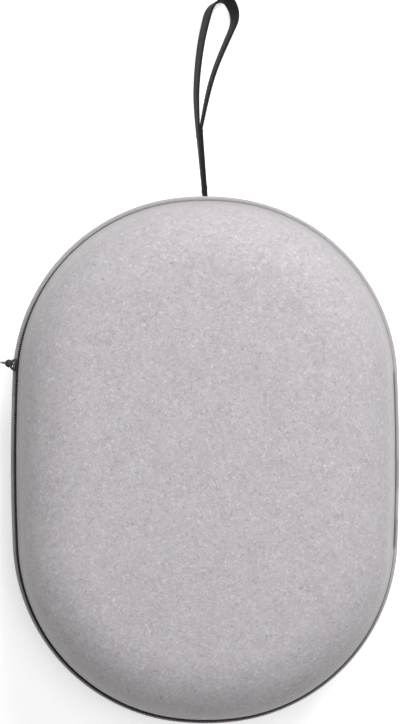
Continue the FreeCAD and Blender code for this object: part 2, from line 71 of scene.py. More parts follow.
def start_clean():
    """Nothing selected, so that the next operator acts on the new piece alone."""
    if bpy.context.object and bpy.context.object.mode != "OBJECT":
        bpy.ops.object.mode_set(mode="OBJECT")
    bpy.ops.object.select_all(action="DESELECT")


def activate(piece):
    start_clean()
    piece.select_set(True)
    bpy.context.view_layer.objects.active = piece


def apply_modifiers(piece):
    activate(piece)
    for modifier in list(piece.modifiers):
        bpy.ops.object.modifier_apply(modifier=modifier.name)


def name_new(name):
    piece = bpy.context.object
    piece.name = name
    piece.data.name = name
    return piece


# %% [markdown]
# ## The camera
# The case is seen straight from above, from a little over a metre, so the lid's edge hides part of
# the rim at the far end and nearly none at the strap end. A long lens at that distance gives this
# mild perspective. The lens follows from the height of the view at the level of the rim.

# %% Place the camera
rim_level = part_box("base_piping")[1].z
camera_height = 1270 * mm
view_height = 382.7 * mm
camera_data = bpy.data.cameras.new("top_camera")
camera_data.sensor_width = 36.0
camera_data.lens = camera_data.sensor_width * camera_height / view_height
camera_data.clip_start = 0.05
camera = bpy.data.objects.new("top_camera", camera_data)
camera.location = (-2.65 * mm, 51.75 * mm, rim_level + camera_height)
bpy.context.scene.collection.objects.link(camera)
bpy.context.scene.camera = camera
print("camera lens", round(camera_data.lens, 1))

# %% [markdown]
# ## The wrist loop
# Narrow woven webbing leaves the sewn stem, runs out into a drop-shaped loop and comes back. Webbing
# bends easily over its face and hardly at all over its edge, so the loop stands on edge and rolls
# over a little towards its tip, where it lies on the table. A smooth NURBS line through the route's
# control points gives the middle of the band, and a flat section is carried along that line.

# %% Draw the loop's middle line
loop_route = [
    (-0.0037, 0.176, 0.0325), (-0.0049, 0.192, 0.0265), (-0.0042, 0.208, 0.0205),
    (-0.0024, 0.224, 0.0145), (0.0, 0.236, 0.010), (0.003, 0.248, 0.0055),
    (0.013, 0.252, 0.004), (0.0176, 0.24, 0.0085), (0.0124, 0.228, 0.013),
    (0.0058, 0.212, 0.019), (0.0012, 0.196, 0.025), (-0.0023, 0.176, 0.0325),
]


def nurbs_points(name, route, resolution=16):
    """Points read from a NURBS line through control points, with no thickness."""
    curve = bpy.data.curves.new(name, "CURVE")
    curve.dimensions = "3D"
    curve.resolution_u = resolution
    spline = curve.splines.new("NURBS")
    spline.points.add(len(route) - 1)
    for point, place in zip(spline.points, route):
        point.co = (*place, 1.0)
    spline.use_endpoint_u = True
    spline.order_u = 3
    holder = bpy.data.objects.new(name, curve)
    bpy.context.scene.collection.objects.link(holder)
    bpy.context.view_layer.update()
    mesh = bpy.data.meshes.new_from_object(holder)
    points = [vertex.co.copy() for vertex in mesh.vertices]
    bpy.data.objects.remove(holder)
    return points


loop_points = nurbs_points("loop_line", loop_route)

# %% Carry the band's section along the line
webbing_width = 8.0 * mm
webbing_thick = 1.25 * mm
strap_slope = 0.375
strap_axis = Vector((0, 1, -strap_slope)).normalized()
strap_upright = Vector((1, 0, 0)).cross(strap_axis).normalized()


def band_section(width, thick, rounding=3):
    """Rounded rectangle: (across, up) pairs, anticlockwise."""
    radius = thick / 2
    points = []
    for side, turn in ((1, 0.0), (-1, math.pi)):
        for step in range(2 * rounding + 1):
            angle = turn + math.pi * step / (2 * rounding)
            points.append((radius * math.cos(angle),
                           side * (width / 2 - radius) + radius * math.sin(angle)))
    return points


def band_mesh(name, points, width, thick, upright_at):
    """Closed band along points. Its UV map holds metres: along the band, and round its section."""
    section = band_section(width, thick)
    lengths = [0.0]
    for a, b in zip(points, points[1:]):
        lengths.append(lengths[-1] + (b - a).length)
    vertices = []
    for index, point in enumerate(points):
        before = points[max(index - 1, 0)]
        after = points[min(index + 1, len(points) - 1)]
        along = (after - before).normalized()
        upright = upright_at(index, point)
        across = along.cross(upright).normalized()
        upright = across.cross(along).normalized()
        for side, up in section:
            vertices.append(point + across * side + upright * up)
    count = len(section)
    faces = []
    for row in range(len(points) - 1):
        for step in range(count):
            following = (step + 1) % count
            faces.append((row * count + step, row * count + following,
                          (row + 1) * count + following, (row + 1) * count + step))
    faces.append(tuple(reversed(range(count))))
    faces.append(tuple(range((len(points) - 1) * count, len(points) * count)))
    mesh = bpy.data.meshes.new(name)
    mesh.from_pydata([tuple(v) for v in vertices], [], faces)
    around = [0.0]
    for step in range(count):
        a = Vector(section[step])
        b = Vector(section[(step + 1) % count])
        around.append(around[-1] + (b - a).length)
    uv = mesh.uv_layers.new(name="cloth")
    for face in mesh.polygons:
        steps = [mesh.loops[i].vertex_index % count for i in face.loop_indices]
        wraps = max(steps) == count - 1 and min(steps) == 0
        for i, step in zip(face.loop_indices, steps):
            row = mesh.loops[i].vertex_index // count
            place = around[count] if wraps and step == 0 else around[step]
            uv.data[i].uv = (lengths[row], place)
    mesh.update()
    piece = bpy.data.objects.new(name, mesh)
    bpy.context.scene.collection.objects.link(piece)
    activate(piece)
    bpy.ops.object.mode_set(mode="EDIT")
    bpy.ops.mesh.select_all(action="SELECT")
    bpy.ops.mesh.normals_make_consistent(inside=False)
    bpy.ops.object.mode_set(mode="OBJECT")
    bpy.ops.object.shade_smooth_by_angle(angle=math.radians(50))
    return piece


root_roll = math.radians(9)
tip_roll = math.radians(38)
tip_reach = 252 * mm
roll_onset = 0.85


def rolled(angle):
    return Matrix.Rotation(angle, 3, strap_axis) @ strap_upright


def loop_upright(index, point):
    reach = (point.y - loop_points[0].y) / (tip_reach - loop_points[0].y)
    return rolled(root_roll + (tip_roll - root_roll) * min(max(reach, 0), 1) ** roll_onset)


wrist_loop = band_mesh("wrist_loop_webbing", loop_points, webbing_width, webbing_thick, loop_upright)
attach(wrist_loop, "base")
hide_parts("wrist_loop")
print("wrist loop faces", len(wrist_loop.data.polygons))

# %% [markdown]
# ## Floor and light
# The case lies on a plain white table that glows faintly, as a light table does, so that no
# hard shadow falls beside the case. A large soft light hangs beyond the strap end and a
# little to the hinge side, so the near and left edges of the lid fall darker. A second soft light
# overhead keeps the middle even, and a pale surround fills the shadows.

# %% Stage the floor, the lights and the surround
key_power = 21.5
top_power = 18.5
surround_strength = 0.1
table_glow = 0.38

start_clean()
bpy.ops.mesh.primitive_plane_add(size=6.0, location=(0, 0, -0.2 * mm))
floor = name_new("floor")
floor_paint = bpy.data.materials.new("light_table")
floor_paint.use_nodes = True
floor_shader = floor_paint.node_tree.nodes["Principled BSDF"]
floor_shader.inputs["Base Color"].default_value = (0.93, 0.93, 0.93, 1)
floor_shader.inputs["Roughness"].default_value = 0.9
floor_shader.inputs["Emission Color"].default_value = (1, 1, 1, 1)
floor_shader.inputs["Emission Strength"].default_value = table_glow
floor.data.materials.append(floor_paint)


def soft_light(name, place, target, size, power):
    data = bpy.data.lights.new(name, "AREA")
    data.shape = "DISK"
    data.size = size
    data.energy = power
    light = bpy.data.objects.new(name, data)
    light.location = place
    light.rotation_euler = (Vector(target) - Vector(place)).to_track_quat("-Z", "Y").to_euler()
    bpy.context.scene.collection.objects.link(light)
    return light


soft_light("key_light", (0.45, 1.1, 1.2), (0, 0.05, 0.05), 0.9, key_power)
soft_light("top_light", (0.1, 0.1, 1.9), (0, 0, 0), 1.0, top_power)
surround = bpy.data.worlds.new("surround")
surround.use_nodes = True
surround.node_tree.nodes["Background"].inputs["Color"].default_value = (1, 1, 1, 1)
surround.node_tree.nodes["Background"].inputs["Strength"].default_value = surround_strength
bpy.context.scene.world = surround
bpy.context.scene.view_settings.view_transform = "Standard"

# %% [markdown]
# ## Shared effects
# Felt, woven cloth and moulded plastic are each an effect that several finishes use, so each is one
# node group with its own inputs. A group gives out only values and colours. The shader and its gloss
# stay in the material. Patterns on felt and foam read Object coordinates, in metres, and woven
# patterns read the UV map, also in metres, so a thread has its real size on every piece. The felt
# also carries painted shade: its colour is darkened towards the seam, so the walls by the rim look shaded.

# %% A small kit for building node groups
def new_group(name, inputs, outputs):
    group = bpy.data.node_groups.new(name, "ShaderNodeTree")
    for label, kind, value in inputs:
        socket = group.interface.new_socket(name=label, in_out="INPUT", socket_type=kind)
        if value is not None:
            socket.default_value = value
    for label, kind in outputs:
        group.interface.new_socket(name=label, in_out="OUTPUT", socket_type=kind)
    entry = group.nodes.new("NodeGroupInput")
    leave = group.nodes.new("NodeGroupOutput")
    return group, entry, leave


class Wiring:
    """Adds nodes to a tree and links them, so that a pattern reads like a formula."""

    def __init__(self, tree):
        self.tree = tree

    def put(self, value, socket):
        if isinstance(value, bpy.types.NodeSocket):
            self.tree.links.new(value, socket)
        else:
            socket.default_value = value

    def math(self, operation, *values, clamp=False):
        node = self.tree.nodes.new("ShaderNodeMath")
        node.operation = operation
        node.use_clamp = clamp
        for value, socket in zip(values, node.inputs):
            self.put(value, socket)
        return node.outputs[0]

    def noise(self, place, scale, detail=2.0, roughness=0.5, distortion=0.0):
        node = self.tree.nodes.new("ShaderNodeTexNoise")
        self.put(place, node.inputs["Vector"])
        self.put(scale, node.inputs["Scale"])
        node.inputs["Detail"].default_value = detail
        node.inputs["Roughness"].default_value = roughness
        node.inputs["Distortion"].default_value = distortion
        return node.outputs["Fac"]

    def moved(self, place, offset, scale=(1, 1, 1), turn=(0, 0, 0)):
        node = self.tree.nodes.new("ShaderNodeMapping")
        self.put(place, node.inputs["Vector"])
        node.inputs["Location"].default_value = offset
        node.inputs["Rotation"].default_value = turn
        node.inputs["Scale"].default_value = scale
        return node.outputs["Vector"]

    def between(self, value, low, high, to_low=0.0, to_high=1.0):
        node = self.tree.nodes.new("ShaderNodeMapRange")
        for item, socket in zip((value, low, high, to_low, to_high), node.inputs):
            self.put(item, socket)
        return node.outputs[0]

    def mix(self, share, first, second):
        node = self.tree.nodes.new("ShaderNodeMix")
        node.data_type = "RGBA"
        self.put(share, node.inputs["Factor"])
        self.put(first, node.inputs[6])
        self.put(second, node.inputs[7])
        return node.outputs[2]

    def split(self, vector):
        node = self.tree.nodes.new("ShaderNodeSeparateXYZ")
        self.put(vector, node.inputs[0])
        return node.outputs


# %% Felt: loose fibres over a mottled ground, with painted shade towards the rim
# Painted shade: colour, reach and strength of the darkening laid into the felt near the seam
painted_rim_shade = (0.155, 0.128, 0.140, 1)
painted_rim_shade_start = 2 * mm
painted_rim_shade_end = 46 * mm
painted_rim_shade_strength = 0.46


def make_felt_group():
    group, entry, leave = new_group(
        "felt_fibres",
        [("Place", "NodeSocketVector", None), ("Ground", "NodeSocketColor", (0.472, 0.436, 0.460, 1)),
         ("Pale fibre", "NodeSocketColor", (0.68, 0.66, 0.67, 1)),
         ("Dark fibre", "NodeSocketColor", (0.25, 0.24, 0.25, 1))],
        [("Colour", "NodeSocketColor"), ("Height", "NodeSocketFloat")])
    w = Wiring(group)
    place = entry.outputs["Place"]
    mottle = w.noise(place, 520.0, 5.0, 0.65, 0.8)
    patch = w.noise(w.moved(place, (3, 1, 2)), 110.0, 3.0)
    tint = w.noise(w.moved(place, (8, 4, 9)), 160.0, 2.0)
    height = None
    shares = []
    for offset, scale, width, cut in (
            ((0.0, 0.0, 0.0), 250.0, 0.040, 0.45), ((7.1, 2.3, 5.0), 330.0, 0.036, 0.48),
            ((1.7, 9.2, 3.4), 230.0, 0.034, 0.46)):
        line = w.noise(w.moved(place, offset), scale, 1.5, 0.5, 2.2)
        gap = w.math("ABSOLUTE", w.math("SUBTRACT", line, 0.5))
        thread = w.between(gap, 0.0, width, 1.0, 0.0)
        broken = w.between(w.noise(w.moved(place, offset[::-1]), 420.0, 1.0), cut, cut + 0.06)
        share = w.math("MULTIPLY", thread, broken)
        shares.append(share)
        height = share if height is None else w.math("ADD", height, share)
    ground = w.mix(w.between(mottle, 0.3, 0.7, 0.0, 0.34), entry.outputs["Ground"],
                   entry.outputs["Dark fibre"])
    ground = w.mix(w.between(patch, 0.35, 0.65, 0.0, 0.12), ground, entry.outputs["Pale fibre"])
    ground = w.mix(w.between(tint, 0.55, 0.75, 0.0, 0.10), ground, (0.50, 0.36, 0.40, 1))
    ground = w.mix(w.between(tint, 0.45, 0.25, 0.0, 0.10), ground, (0.36, 0.44, 0.46, 1))
    ground = w.mix(w.math("MULTIPLY", shares[0], 0.62), ground, entry.outputs["Pale fibre"])
    ground = w.mix(w.math("MULTIPLY", shares[1], 0.45), ground, entry.outputs["Pale fibre"])
    ground = w.mix(w.math("MULTIPLY", shares[2], 0.6), ground, entry.outputs["Dark fibre"])
    # Painted shade: the felt's colour is darkened by height from the seam, most within 2 mm of it, fading
    # out 46 mm above and below
    from_seam = w.math("ABSOLUTE", w.math("SUBTRACT", w.split(place)[2], 57 * mm))
    painted_rim_shade_share = w.between(from_seam, painted_rim_shade_start, painted_rim_shade_end, painted_rim_shade_strength, 0.0)
    ground = w.mix(painted_rim_shade_share, ground, painted_rim_shade)
    fuzz = w.noise(w.moved(place, (5, 5, 1)), 1900.0, 3.0, 0.6)
    group.links.new(ground, leave.inputs["Colour"])
    group.links.new(w.math("ADD", w.math("MULTIPLY", height, 0.8), w.math("ADD", fuzz, mottle)),
                    leave.inputs["Height"])
    return group


felt_group = make_felt_group()


# %% Woven cloth: ribs across and threads along, in metres of the UV map
def make_weave_group():
    group, entry, leave = new_group(
        "woven_threads",
        [("Cloth", "NodeSocketVector", None), ("Thread along", "NodeSocketFloat", 0.0008),
         ("Thread across", "NodeSocketFloat", 0.0008), ("Slant", "NodeSocketFloat", 0.0)],
        [("Height", "NodeSocketFloat"), ("Gap", "NodeSocketFloat")])
    w = Wiring(group)
    along, across, _ = w.split(entry.outputs["Cloth"])
    slanted = w.math("ADD", along, w.math("MULTIPLY", across, entry.outputs["Slant"]))
    turn = 2 * math.pi
    row = w.math("MULTIPLY", w.math("DIVIDE", slanted, entry.outputs["Thread along"]), turn)
    column = w.math("MULTIPLY", w.math("DIVIDE", across, entry.outputs["Thread across"]), turn)
    bump_row = w.math("SINE", row)
    bump_column = w.math("SINE", column)
    over = w.math("MULTIPLY", bump_row, bump_column)
    height = w.math("ADD", w.math("MULTIPLY", over, 0.35), w.math("MULTIPLY", bump_row, 0.65))
    group.links.new(height, leave.inputs["Height"])
    group.links.new(w.between(height, -0.9, 0.2, 1.0, 0.0), leave.inputs["Gap"])
    return group


weave_group = make_weave_group()


# %% Moulded or cast grain, with faint dust and rubbed patches
def make_grain_group():
    group, entry, leave = new_group(
        "moulded_grain",
        [("Place", "NodeSocketVector", None), ("Fineness", "NodeSocketFloat", 2500.0)],
        [("Height", "NodeSocketFloat"), ("Wear", "NodeSocketFloat")])
    w = Wiring(group)
    fine = w.noise(entry.outputs["Place"], entry.outputs["Fineness"], 3.0, 0.6)
    broad = w.noise(w.moved(entry.outputs["Place"], (2, 4, 6)), 160.0, 4.0, 0.6)
    group.links.new(fine, leave.inputs["Height"])
    group.links.new(w.between(broad, 0.5, 0.75), leave.inputs["Wear"])
    return group


grain_group = make_grain_group()
print("node groups", [g.name for g in bpy.data.node_groups])

# %% [markdown]
# ## The finishes
# Each finish is one short function. Cloth has a high roughness and a little sheen, the soft glow of
# fibre ends at the edge of a form. Black trim is never pure black: nylon is about three per cent
# grey with a slight gloss, and enamel on zip metal is darker and shinier.

# %% Start a finish
def new_finish(name, roughness, sheen=0.0, specular=0.5):
    material = bpy.data.materials.new(name)
    material.use_nodes = True
    shader = material.node_tree.nodes["Principled BSDF"]
    shader.inputs["Roughness"].default_value = roughness
    shader.inputs["Specular IOR Level"].default_value = specular
    if sheen:
        shader.inputs["Sheen Weight"].default_value = sheen
        shader.inputs["Sheen Roughness"].default_value = 0.5
    return material, shader, Wiring(material.node_tree)


def coordinates(w, source="Object"):
    return w.tree.nodes.new("ShaderNodeTexCoord").outputs[source]


def cloth_map(w):
    node = w.tree.nodes.new("ShaderNodeUVMap")
    node.uv_map = "cloth"
    return node.outputs[0]


def use_group(w, group, **values):
    node = w.tree.nodes.new("ShaderNodeGroup")
    node.node_tree = group
    for label, value in values.items():
        w.put(value, node.inputs[label.replace("_", " ")])
    return node


def raise_surface(w, shader, height, strength, distance):
    bump = w.tree.nodes.new("ShaderNodeBump")
    bump.inputs["Strength"].default_value = strength
    bump.inputs["Distance"].default_value = distance
    w.put(height, bump.inputs["Height"])
    w.tree.links.new(bump.outputs[0], shader.inputs["Normal"])


# %% Felt, twill and knit
def felt_finish():
    material, shader, w = new_finish("pale_melange_felt", 0.95, sheen=0.25, specular=0.15)
    felt = use_group(w, felt_group, Place=coordinates(w))
    w.tree.links.new(felt.outputs["Colour"], shader.inputs["Base Color"])
    raise_surface(w, shader, felt.outputs["Height"], 0.35, 0.25 * mm)
    return material


def woven_finish(name, thread, gap, along, across, slant=0.0, roughness=0.85, sheen=0.15, depth=0.12):
    """Cloth whose threads follow the piece: thread and gap colours, and thread pitches in mm."""
    material, shader, w = new_finish(name, roughness, sheen=sheen, specular=0.3)
    weave = use_group(w, weave_group, Cloth=cloth_map(w), Thread_along=along * mm,
                      Thread_across=across * mm, Slant=slant)
    tone = w.mix(weave.outputs["Gap"], thread, gap)
    stray = w.noise(coordinates(w), 900.0, 3.0)
    tone = w.mix(w.between(stray, 0.35, 0.75, 0.0, 0.35), tone, gap)
    w.tree.links.new(tone, shader.inputs["Base Color"])
    raise_surface(w, shader, weave.outputs["Height"], 0.6, depth * mm)
    return material


def grain_finish(name, colour, worn, roughness, fineness=2500.0, specular=0.5, strength=0.25, metallic=0.0):
    material, shader, w = new_finish(name, roughness, specular=specular)
    grain = use_group(w, grain_group, Place=coordinates(w), Fineness=fineness)
    tone = w.mix(w.math("MULTIPLY", grain.outputs["Wear"], 0.5), colour, worn)
    w.tree.links.new(tone, shader.inputs["Base Color"])
    w.tree.links.new(w.between(grain.outputs["Wear"], 0.0, 1.0, roughness, min(roughness + 0.12, 1.0)),
                     shader.inputs["Roughness"])
    shader.inputs["Metallic"].default_value = metallic
    raise_surface(w, shader, grain.outputs["Height"], strength, 0.08 * mm)
    return material


def grey(value, tint=0.0):
    return (value, value * (1 - tint), value * (1 - tint / 2), 1)


felt = felt_finish()
piping_twill = woven_finish("pale_twill", grey(0.56, 0.03), grey(0.2, 0.03), 1.1, 0.7, slant=0.9, depth=0.2)
zip_cloth = woven_finish("black_zip_cloth", grey(0.022), grey(0.006), 0.5, 0.45, roughness=0.8)
black_webbing = woven_finish("black_webbing", grey(0.009), grey(0.003), 0.9, 0.8, slant=0.25, roughness=0.8,
                             sheen=0.04, depth=0.18)
hinge_cloth = woven_finish("grey_hinge_cloth", grey(0.3, 0.03), grey(0.12, 0.03), 0.6, 0.6, depth=0.12)
black_binding = woven_finish("black_binding", grey(0.035), grey(0.012), 0.7, 0.6, roughness=0.8)
elastic_cloth = woven_finish("black_elastic", grey(0.03), grey(0.01), 0.9, 1.2, roughness=0.8, depth=0.25)
thread_black = grain_finish("black_thread", grey(0.03), grey(0.06), 0.6, 4000.0)
coil_nylon = grain_finish("black_coil_nylon", grey(0.018), grey(0.04), 0.38, 3000.0, strength=0.1)
enamel = grain_finish("black_zip_enamel", grey(0.012), grey(0.05), 0.3, 1800.0, strength=0.08, metallic=0.0)
pull_rubber = grain_finish("black_pull_rubber", grey(0.02), grey(0.045), 0.5, 3200.0, strength=0.2)
board_foam = grain_finish("closed_cell_board", grey(0.09), grey(0.14), 0.85, 1500.0, specular=0.2,
                          strength=0.5)
print("finishes", len(bpy.data.materials))


# %% Brushed knit over foam, and open mesh
def knit_finish(name, ground, tip):
    """Short brushed pile: fine noise with a few paler tips."""
    material, shader, w = new_finish(name, 0.95, sheen=0.5, specular=0.15)
    place = coordinates(w)
    pile = w.noise(place, 1400.0, 4.0, 0.65)
    shade = w.noise(w.moved(place, (4, 2, 1)), 35.0, 3.0)
    tone = w.mix(w.between(pile, 0.4, 0.75), ground, tip)
    tone = w.mix(w.between(shade, 0.35, 0.7, 0.0, 0.3), tone, tip)
    w.tree.links.new(tone, shader.inputs["Base Color"])
    raise_surface(w, shader, pile, 0.5, 0.3 * mm)
    return material


def mesh_finish():
    """Knitted mesh: rows of small eye-shaped holes that the lining shows through."""
    material, shader, w = new_finish("black_knit_mesh", 0.8, sheen=0.2, specular=0.3)
    x, y, _ = w.split(coordinates(w))
    pitch = 2.2 * mm
    row = w.math("MULTIPLY", y, 2 * math.pi / pitch)
    column = w.math("MULTIPLY", x, 2 * math.pi / (1.5 * pitch))
    wave = w.math("ADD", w.math("COSINE", row), w.math("COSINE", column))
    solid = w.between(w.math("ABSOLUTE", wave), 0.75, 1.0, 0.0, 1.0)
    flipped = w.math("SUBTRACT", 1.0, solid)
    tone = w.mix(w.noise(coordinates(w), 1500.0, 2.0), grey(0.02), grey(0.06))
    w.tree.links.new(tone, shader.inputs["Base Color"])
    w.tree.links.new(w.math("MAXIMUM", flipped, 0.12), shader.inputs["Alpha"])
    raise_surface(w, shader, w.math("ABSOLUTE", wave), 0.5, 0.2 * mm)
    return material


lining_knit = knit_finish("charcoal_brushed_knit", grey(0.035), grey(0.075))
nest_knit = knit_finish("charcoal_foam_cover", grey(0.045), grey(0.09))
pocket_mesh = mesh_finish()
print("finishes", len(bpy.data.materials))

# %% [markdown]
# ## The outline of the case
# The outline is eight arcs that touch smoothly: a nearly straight arc along each side, a wide arc
# over each end and a tight arc at each shoulder. Everything that runs round the case is a small
# profile spun about the middles of those arcs, one after the other, as a maker would bend a strip
# round a form. An inset moves a profile towards the middle without changing the arcs' middles.

# %% Work out the arcs
piping_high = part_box("base_piping")[1]
half_width = piping_high.x
half_length = piping_high.y
side_radius = 1000 * mm
shoulder_radius = 98 * mm
tip_radius = 131 * mm
slider_turn = [joint for joint in frame["joints"] if joint["name"] == "zip_travel"][0]
shoulder = Vector((abs(slider_turn["pos_m"][0]), slider_turn["pos_m"][1]))
side_middle = half_width - side_radius
tip_middle = half_length - tip_radius
side_turn = math.atan2(shoulder.y, shoulder.x - side_middle)
tip_turn = math.atan2(shoulder.y - tip_middle, shoulder.x)


def outline_arcs():
    """(middle, radius, start angle, end angle), anticlockwise from the middle of the hinge side."""
    x, y, pi = shoulder.x, shoulder.y, math.pi
    return [
        (Vector((side_middle, 0)), side_radius, 0.0, side_turn),
        (Vector((x, y)), shoulder_radius, side_turn, tip_turn),
        (Vector((0, tip_middle)), tip_radius, tip_turn, pi - tip_turn),
        (Vector((-x, y)), shoulder_radius, pi - tip_turn, pi - side_turn),
        (Vector((-side_middle, 0)), side_radius, pi - side_turn, pi + side_turn),
        (Vector((-x, -y)), shoulder_radius, pi + side_turn, pi + tip_turn),
        (Vector((0, -tip_middle)), tip_radius, pi + tip_turn, 2 * pi - tip_turn),
        (Vector((x, -y)), shoulder_radius, 2 * pi - tip_turn, 2 * pi - side_turn),
        (Vector((side_middle, 0)), side_radius, 2 * pi - side_turn, 2 * pi),
    ]


arcs = []
run = 0.0
for middle, radius, start, end in outline_arcs():
    arcs.append((middle, radius, start, end, run, run + radius * (end - start)))
    run = arcs[-1][5]
outline_length = run
print("outline length", round(outline_length, 4), "m")


def ray_at(place):
    """Middle, radius and direction of the outline's arc at a length along it."""
    place = place % outline_length
    for middle, radius, start, end, low, high in arcs:
        if low <= place <= high:
            angle = start + (place - low) / radius
            return middle, radius, Vector((math.cos(angle), math.sin(angle)))


def outline_point(place, inset, level):
    middle, radius, ray = ray_at(place)
    spot = middle + ray * (radius - inset)
    return Vector((spot.x, spot.y, level))


def place_of(x, y):
    """Length along the outline, and inset, of a point on the case."""
    best = None
    for middle, radius, start, end, low, high in arcs:
        away = Vector((x, y)) - middle
        angle = math.atan2(away.y, away.x) % (2 * math.pi)
        if angle > 2 * math.pi - 1e-6 and start < 0.1:
            angle = 0.0
        miss = max(start - angle, angle - end, 0.0)
        if end > 6.2 and angle < 1e-6:
            miss = 0.0
            angle = end
        if best is None or miss < best[0]:
            best = (miss, low + (angle - start) * radius, radius - away.length)
    return best[1], best[2]


# %% Spin a profile round the arcs
def spin_round(name, profile, closed=False, start=0.0, end=None, fill_middle=False):
    """Spin pairs of inset and level round the outline, from one length along it to another."""
    full = end is None
    end = outline_length if full else end
    vertices = [outline_point(start, inset, level) for inset, level in profile]
    edges = [(i, i + 1) for i in range(len(profile) - 1)]
    if closed:
        edges.append((len(profile) - 1, 0))
    mesh = bpy.data.meshes.new(name)
    mesh.from_pydata([tuple(v) for v in vertices], edges, [])
    piece = bpy.data.objects.new(name, mesh)
    bpy.context.scene.collection.objects.link(piece)
    activate(piece)
    bpy.ops.object.mode_set(mode="EDIT")
    bpy.ops.mesh.select_all(action="SELECT")
    if closed and not full:
        bpy.ops.mesh.edge_face_add()
    for turn in range(2):
        for middle, radius, first, last, low, high in arcs:
            low = max(low + turn * outline_length, start)
            high = min(high + turn * outline_length, end)
            if high - low < 1e-6:
                continue
            angle = (high - low) / radius
            steps = max(1, round(angle / math.radians(2.3)), round((high - low) / (14 * mm)))
            bpy.ops.mesh.spin(steps=steps, angle=-angle, center=(middle.x, middle.y, 0),
                              axis=(0, 0, 1))
    bpy.ops.mesh.select_all(action="SELECT")
    bpy.ops.mesh.remove_doubles(threshold=0.004 * mm)
    if fill_middle:
        close_middle(piece, profile)
    bpy.ops.mesh.select_all(action="SELECT")
    bpy.ops.mesh.normals_make_consistent(inside=False)
    bpy.ops.object.mode_set(mode="OBJECT")
    return piece


def close_middle(piece, profile):
    """Fill the last ring of an open profile and poke a point into its middle."""
    shape = bmesh.from_edit_mesh(piece.data)
    last = profile[-1][1]
    for edge in shape.edges:
        near = all(abs(v.co.z - last) < 0.002 * mm for v in edge.verts)
        edge.select = near and edge.is_boundary
    bmesh.update_edit_mesh(piece.data)
    bpy.ops.mesh.edge_face_add()
    bpy.ops.mesh.poke()


print("arcs to spin round", len(arcs))


# %% Lay the cloth map on a spun piece
def map_cloth(piece, profile, closed=False):
    """UV map in metres: u runs along the outline, v along the profile."""
    travel = [0.0]
    points = [Vector(p) for p in profile]
    for a, b in zip(points, points[1:] + points[:1]):
        travel.append(travel[-1] + (b - a).length)
    whole = travel[len(profile)]
    mesh = piece.data
    found = {}
    for vertex in mesh.vertices:
        along, inset = place_of(vertex.co.x, vertex.co.y)
        nearest = min(range(len(points)), key=lambda i: (points[i] - Vector((inset, vertex.co.z))).length)
        found[vertex.index] = (along, travel[nearest])
    uv = mesh.uv_layers.new(name="cloth")
    for face in mesh.polygons:
        spots = [found[mesh.loops[i].vertex_index] for i in face.loop_indices]
        crosses = max(s[0] for s in spots) - min(s[0] for s in spots) > outline_length / 2
        wraps = closed and max(s[1] for s in spots) - min(s[1] for s in spots) > whole / 2
        for i, (along, around) in zip(face.loop_indices, spots):
            if crosses and along < outline_length / 2:
                along += outline_length
            if wraps and around < whole / 2:
                around += whole
            uv.data[i].uv = (along, around)


def dress(piece, material, body, slot, *nodes, smooth=40):
    """Finish a piece: its material, smooth shading, the body it rides on and the nodes it stands for."""
    piece.data.materials.clear()
    piece.data.materials.append(material)
    activate(piece)
    bpy.ops.object.shade_smooth_by_angle(angle=math.radians(smooth))
    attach(piece, body)
    if nodes:
        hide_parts(*nodes)
    print(piece.name, "faces", len(piece.data.polygons))
    return piece


# %% [markdown]
# ## Felt covers and linings
# Each half is a drafted wall with a widely rolled edge, and the lid's top is slightly crowned. One
# profile, from the rim up the wall, round the roll and across the top, is spun round the outline, and
# the small hole left in the middle is filled. Solidify gives the cloth its thickness, inwards. A sewn
# lid never closes dead in line with its base, so the lid's felt is set a hair towards the hinge.

# %% Draw the wall profile of a half
sizes = {"draft": math.radians(10), "rim_inset": 2.9 * mm, "felt": 1.6 * mm, "board_end": 5.2 * mm,
         "lining_start": 5.3 * mm, "lining": 0.9 * mm}
lid_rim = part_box("lid_cover")[0].z
base_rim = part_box("base_cover")[1].z
case_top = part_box("lid_cover")[1].z
lid_roll = 34 * mm
base_roll = 30 * mm
middle_inset = 90 * mm


def wall_profile(rim, far, roll, depth, crown):
    """Pairs of inset and level, from the rim to near the middle, depth inside the felt's face."""
    side = 1 if far > rim else -1
    draft = sizes["draft"]
    far = far - side * depth
    radius = roll - depth
    roll_level = far - side * radius
    touch_level = roll_level + side * radius * math.sin(draft)
    touch_inset = sizes["rim_inset"] + depth + abs(touch_level - rim) * math.tan(draft)
    roll_inset = touch_inset + radius * math.cos(draft)
    profile = []
    for step in range(5):
        share = step / 5
        profile.append((sizes["rim_inset"] + depth + share * abs(touch_level - rim) * math.tan(draft),
                        rim + share * (touch_level - rim)))
    rolls = 18
    for step in range(rolls + 1):
        angle = draft + (math.pi / 2 - draft) * step / rolls
        profile.append((roll_inset - radius * math.cos(angle),
                        roll_level + side * radius * math.sin(angle)))
    flats = 12
    for step in range(1, flats + 1):
        share = step / flats
        profile.append((roll_inset + share * (middle_inset - roll_inset), far))
    swell = []
    begin = touch_inset + 0.35 * (roll_inset - touch_inset)
    for inset, level in profile:
        share = min(max((inset - begin) / (middle_inset - begin), 0.0), 1.0)
        swell.append((inset, level + side * crown * math.sin(share * math.pi / 2) ** 1.6))
    return swell


def moulded_half(name, rim, far, roll, depth, thick, crown):
    profile = wall_profile(rim, far, roll, depth, crown)
    piece = spin_round(name, profile, fill_middle=True)
    wall = piece.modifiers.new("thickness", "SOLIDIFY")
    wall.thickness = thick
    wall.offset = -1.0
    apply_modifiers(piece)
    return piece


